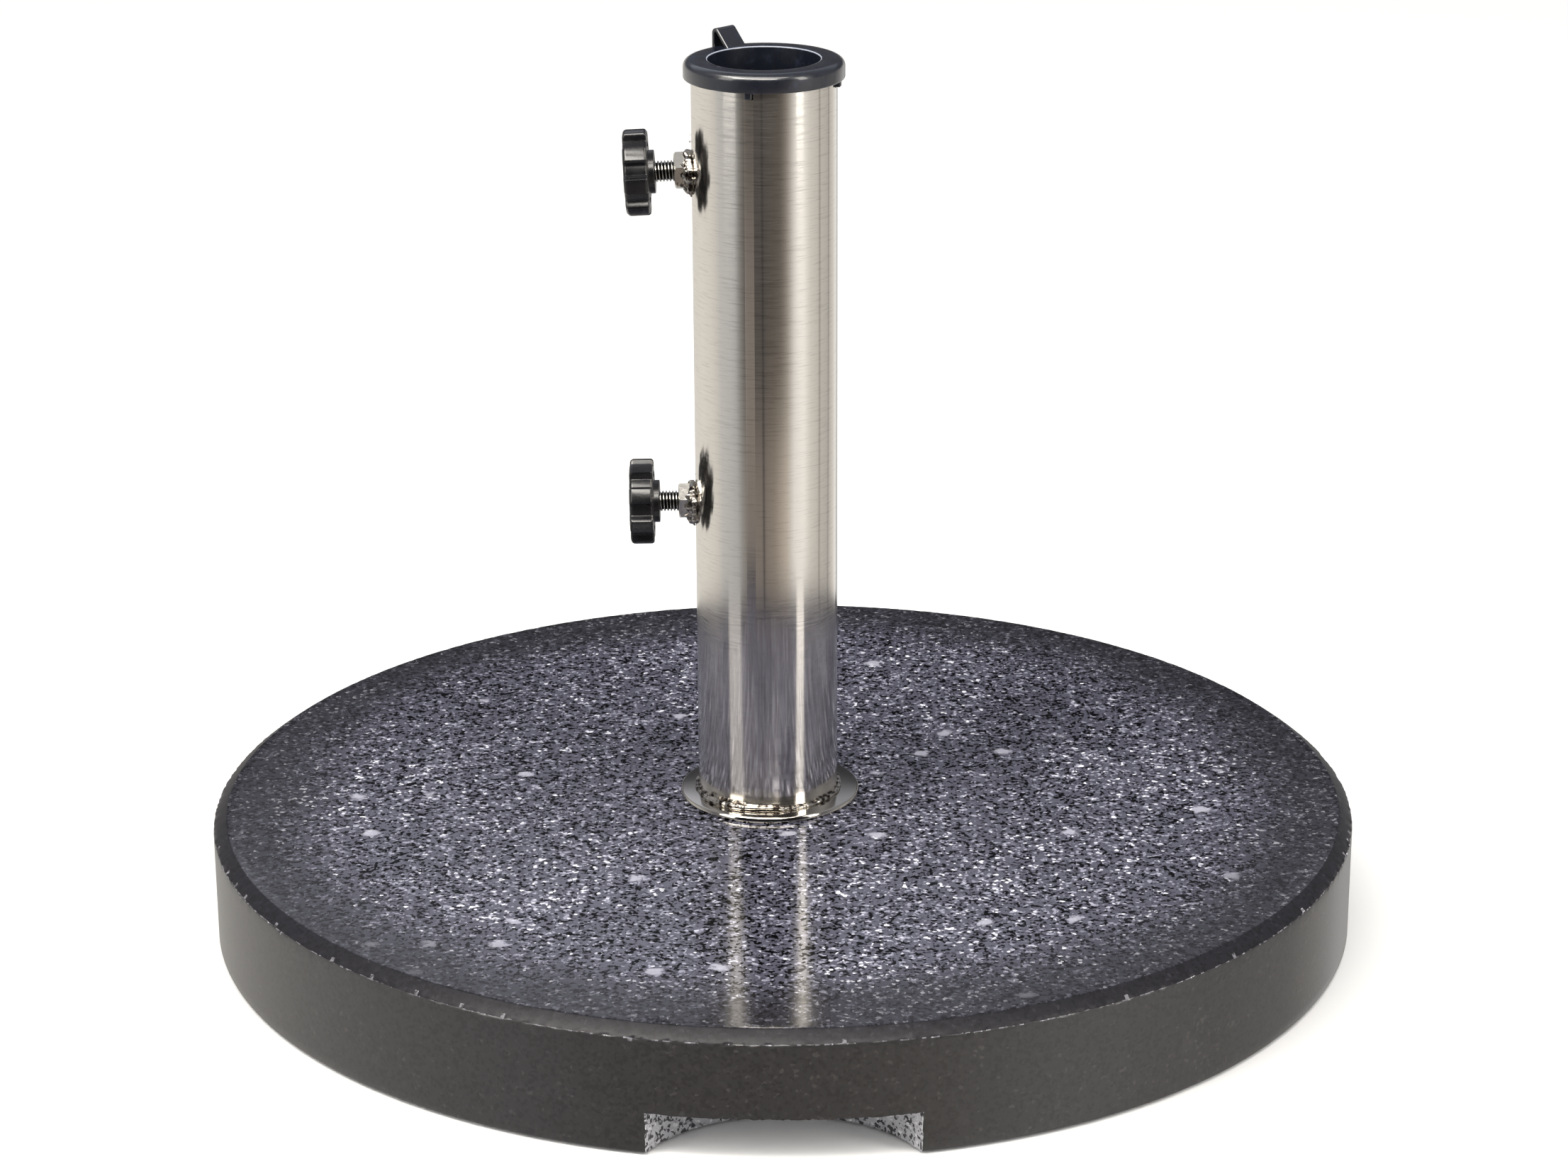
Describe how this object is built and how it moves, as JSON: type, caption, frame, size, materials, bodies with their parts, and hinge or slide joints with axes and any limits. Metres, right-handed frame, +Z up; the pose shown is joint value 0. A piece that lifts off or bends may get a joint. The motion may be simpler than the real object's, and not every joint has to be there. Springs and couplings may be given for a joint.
{
  "type": "parasol base",
  "caption": "Round polished stone disc with a brushed steel tube, a plastic reducer collar and two hand screws that clamp a parasol pole.",
  "frame": {"origin": "on the floor, below the centre of the stone disc", "axes": "+Z up along the tube; -X towards the two hand screws; +Y away from the front carrying notch"},
  "size_m": [0.45, 0.45, 0.3506],
  "materials": {
    "polished_granite": "polished, fine dark speckle, sawn and waxed side",
    "brushed_stainless": "circumferential brushing, nearly mirror",
    "weld_bead": "lumpy bead, brushed over",
    "weld_nut_steel": "bright machined, heat-tinted near the weld",
    "zinc_steel": "bright zinc plating",
    "collar_plastic": "moulded, satin",
    "knob_plastic": "moulded, semi-gloss",
    "tip_nylon": "moulded, natural",
    "pad_rubber": "die-cut, matte"
  },
  "bodies": {
    "base": {"granite_slab": "polished_granite", "floor_pad_1": "pad_rubber", "floor_pad_2": "pad_rubber", "floor_pad_3": "pad_rubber", "floor_pad_4": "pad_rubber", "base_plate": "brushed_stainless", "tube_foot_weld": "weld_bead", "tube_sleeve": "brushed_stainless", "anchor_bolt": "zinc_steel", "anchor_washer": "zinc_steel", "anchor_spring_washer": "zinc_steel", "anchor_nut": "zinc_steel", "upper_clamp_nut": "weld_nut_steel", "upper_nut_weld": "weld_bead", "lower_clamp_nut": "weld_nut_steel", "lower_nut_weld": "weld_bead"},
    "collar": {"reducer_collar": "collar_plastic"},
    "upper_tip": {"upper_pressure_tip": "tip_nylon"},
    "upper_screw": {"upper_clamp_bolt": "zinc_steel", "upper_star_knob": "knob_plastic", "upper_knob_cap": "knob_plastic"},
    "lower_tip": {"lower_pressure_tip": "tip_nylon"},
    "lower_screw": {"lower_clamp_bolt": "zinc_steel", "lower_star_knob": "knob_plastic", "lower_knob_cap": "knob_plastic"}
  },
  "joints": [
    {"name": "collar_lift", "type": "slide", "parent": "base", "child": "collar", "axis": [0, 0, 1], "range_m": [0, 0.05]},
    {"name": "upper_screw_feed", "type": "slide", "parent": "base", "child": "upper_tip", "axis": [0.9988, 0, 0.0489], "range_m": [-0.00501, 0.00626]},
    {"name": "upper_screw_turn", "type": "hinge", "parent": "upper_tip", "child": "upper_screw", "pos_m": [-0.0333, 0, 0.3016], "axis": [0.9988, 0, 0.0489], "range_deg": [-1440, 1800]},
    {"name": "lower_screw_feed", "type": "slide", "parent": "base", "child": "lower_tip", "axis": [0.9999, 0, 0.014], "range_m": [-0.00501, 0.00626]},
    {"name": "lower_screw_turn", "type": "hinge", "parent": "lower_tip", "child": "lower_screw", "pos_m": [-0.0333, 0, 0.1707], "axis": [0.9999, 0, 0.014], "range_deg": [-1440, 1800]}
  ],
  "couplings": [
    {"joint": "upper_screw_feed", "follows": "upper_screw_turn", "m_per_rad": 0.00019894},
    {"joint": "lower_screw_feed", "follows": "lower_screw_turn", "m_per_rad": 0.00019894}
  ]
}
